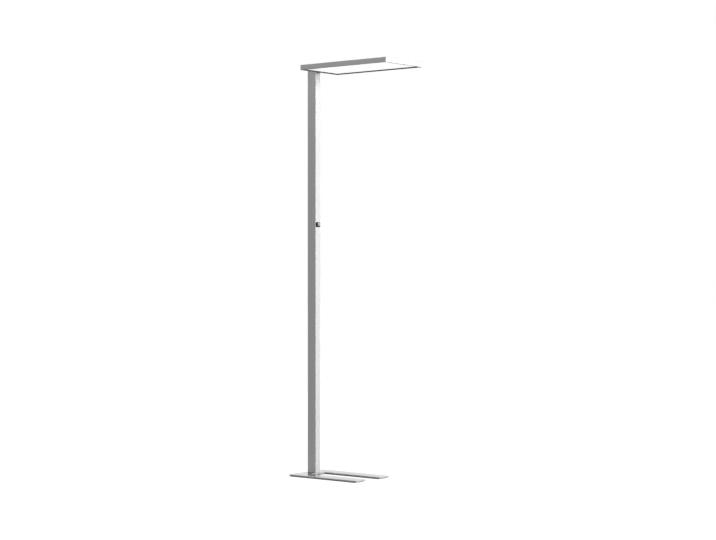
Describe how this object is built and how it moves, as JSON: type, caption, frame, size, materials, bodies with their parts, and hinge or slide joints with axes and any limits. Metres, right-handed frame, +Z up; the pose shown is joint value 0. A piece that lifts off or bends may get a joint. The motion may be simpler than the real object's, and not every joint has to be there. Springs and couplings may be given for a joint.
{
  "type": "office floor lamp",
  "caption": "Office floor lamp: forked steel base, rectangular aluminium pole with a push-and-turn dimmer, and a flat cantilevered light panel.",
  "frame": {"origin": "on the floor, under the middle of the pole", "axes": "+X along the base prongs and the light panel, +Y across the lamp, +Z up along the pole"},
  "size_m": [0.5885, 0.272, 1.945],
  "materials": {
    "base_steel": "ground and polished steel, clear coat",
    "black_plastic": "fine matt",
    "board_green": "solder mask",
    "chip_yellow": "phosphor",
    "clear_acrylic": "polished",
    "knob_metal": "satin turned",
    "lead_black": "smooth jacket",
    "lead_red": "smooth jacket",
    "opal_white": "opal, finely frosted",
    "pad_rubber": "matt",
    "raw_aluminium": "mill finish",
    "silver_satin": "satin silver",
    "steel": "zinc plated",
    "trim_grey": "fine matt",
    "white_plastic": "fine matt"
  },
  "bodies": {
    "lamp": {"base_plate": "base_steel", "floor_pad": "pad_rubber", "foot_block": "steel", "base_bolts": "steel", "pole_set_screws": "steel", "foot_gasket": "pad_rubber", "pole_tube": "silver_satin", "pole_top_cap": "silver_satin", "cap_screw": "steel", "gland_body": "black_plastic", "gland_nut": "black_plastic", "wiring_tray": "steel", "tray_screws": "steel", "terminal_block": "white_plastic", "driver_lead": "lead_black", "led_driver": "white_plastic", "driver_screws": "steel", "led_lead": "lead_black", "lead_clips": "white_plastic", "control_lead": "lead_black", "control_bezel": "black_plastic", "dimmer_body": "black_plastic", "dimmer_nut": "steel", "dimmer_board": "board_green", "arm_plug": "steel", "plug_screws": "steel", "head_arm": "steel", "arm_bolts": "steel", "neck_collar": "black_plastic", "frame_near": "silver_satin", "frame_far": "silver_satin", "frame_inner": "silver_satin", "frame_outer": "silver_satin", "corner_blocks": "raw_aluminium", "back_plate": "raw_aluminium", "arm_screws": "steel", "reflector": "white_plastic", "light_guide": "clear_acrylic", "led_boards": "board_green", "led_chips": "chip_yellow", "head_connector": "white_plastic", "strip_leads": "lead_red", "diffuser": "opal_white", "rim_trim": "trim_grey", "top_cover": "silver_satin", "cover_screws": "steel"},
    "press": {"push_core": "white_plastic"},
    "knob": {"dimmer_shaft": "steel", "dimmer_knob": "knob_metal", "knob_face": "knob_metal"}
  },
  "joints": [
    {"name": "dimmer_press", "type": "slide", "parent": "lamp", "child": "press", "axis": [-1, 0, 0], "range_m": [0, 0.0012], "stiffness_N_per_m": 800, "springref_m": -0.0015},
    {"name": "dimmer_turn", "type": "hinge", "parent": "press", "child": "knob", "pos_m": [0.03, 0, 1.197], "axis": [1, 0, 0], "range_deg": [-150, 150]}
  ]
}
